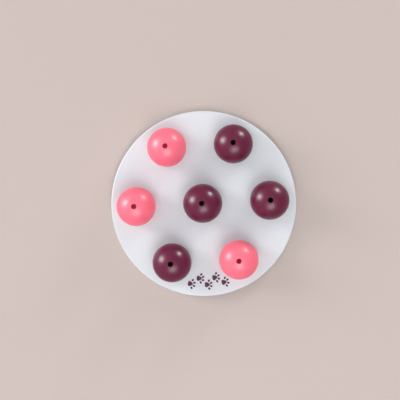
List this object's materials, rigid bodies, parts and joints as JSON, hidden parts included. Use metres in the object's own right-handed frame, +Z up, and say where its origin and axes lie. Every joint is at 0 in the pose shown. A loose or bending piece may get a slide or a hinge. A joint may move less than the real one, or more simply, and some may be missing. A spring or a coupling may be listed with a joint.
{
  "type": "cat puzzle board",
  "caption": "Round low tray on rubber feet with treat wells in a hexagon, each covered by a loose hollow ball with a scent hole that a cat lifts or knocks off.",
  "frame": {"origin": "on the floor under the middle of the tray, in the plane of the feet", "axes": "+Z up, -Y towards the front edge that carries the print, +X to the right as seen from the front"},
  "size_m": [0.2, 0.2, 0.0435],
  "materials": {
    "board": "moulded white ABS, fine satin texture",
    "plum_ball": "moulded plum ABS, satin gloss",
    "pink_ball": "moulded coral pink ABS, satin gloss",
    "foot": "matt grey thermoplastic rubber"
  },
  "bodies": {
    "board": {"board": "board", "foot_1": "foot", "foot_2": "foot", "foot_3": "foot", "foot_4": "foot", "foot_5": "foot", "foot_6": "foot"},
    "ball_1": {"ball_1_bottom_shell": "plum_ball", "ball_1_top_shell": "plum_ball"},
    "ball_2": {"ball_2_bottom_shell": "plum_ball", "ball_2_top_shell": "plum_ball"},
    "ball_3": {"ball_3_bottom_shell": "plum_ball", "ball_3_top_shell": "plum_ball"},
    "ball_4": {"ball_4_bottom_shell": "pink_ball", "ball_4_top_shell": "pink_ball"},
    "ball_5": {"ball_5_bottom_shell": "pink_ball", "ball_5_top_shell": "pink_ball"},
    "ball_6": {"ball_6_bottom_shell": "plum_ball", "ball_6_top_shell": "plum_ball"},
    "ball_7": {"ball_7_bottom_shell": "pink_ball", "ball_7_top_shell": "pink_ball"}
  },
  "joints": [
    {"name": "ball_1_lift", "type": "slide", "parent": "board", "child": "ball_1", "axis": [0, 0, 1], "range_m": [0, 0.05]},
    {"name": "ball_2_lift", "type": "slide", "parent": "board", "child": "ball_2", "axis": [0, 0, 1], "range_m": [0, 0.05]},
    {"name": "ball_3_lift", "type": "slide", "parent": "board", "child": "ball_3", "axis": [0, 0, 1], "range_m": [0, 0.05]},
    {"name": "ball_4_lift", "type": "slide", "parent": "board", "child": "ball_4", "axis": [0, 0, 1], "range_m": [0, 0.05]},
    {"name": "ball_5_lift", "type": "slide", "parent": "board", "child": "ball_5", "axis": [0, 0, 1], "range_m": [0, 0.05]},
    {"name": "ball_6_lift", "type": "slide", "parent": "board", "child": "ball_6", "axis": [0, 0, 1], "range_m": [0, 0.05]},
    {"name": "ball_7_lift", "type": "slide", "parent": "board", "child": "ball_7", "axis": [0, 0, 1], "range_m": [0, 0.05]}
  ]
}
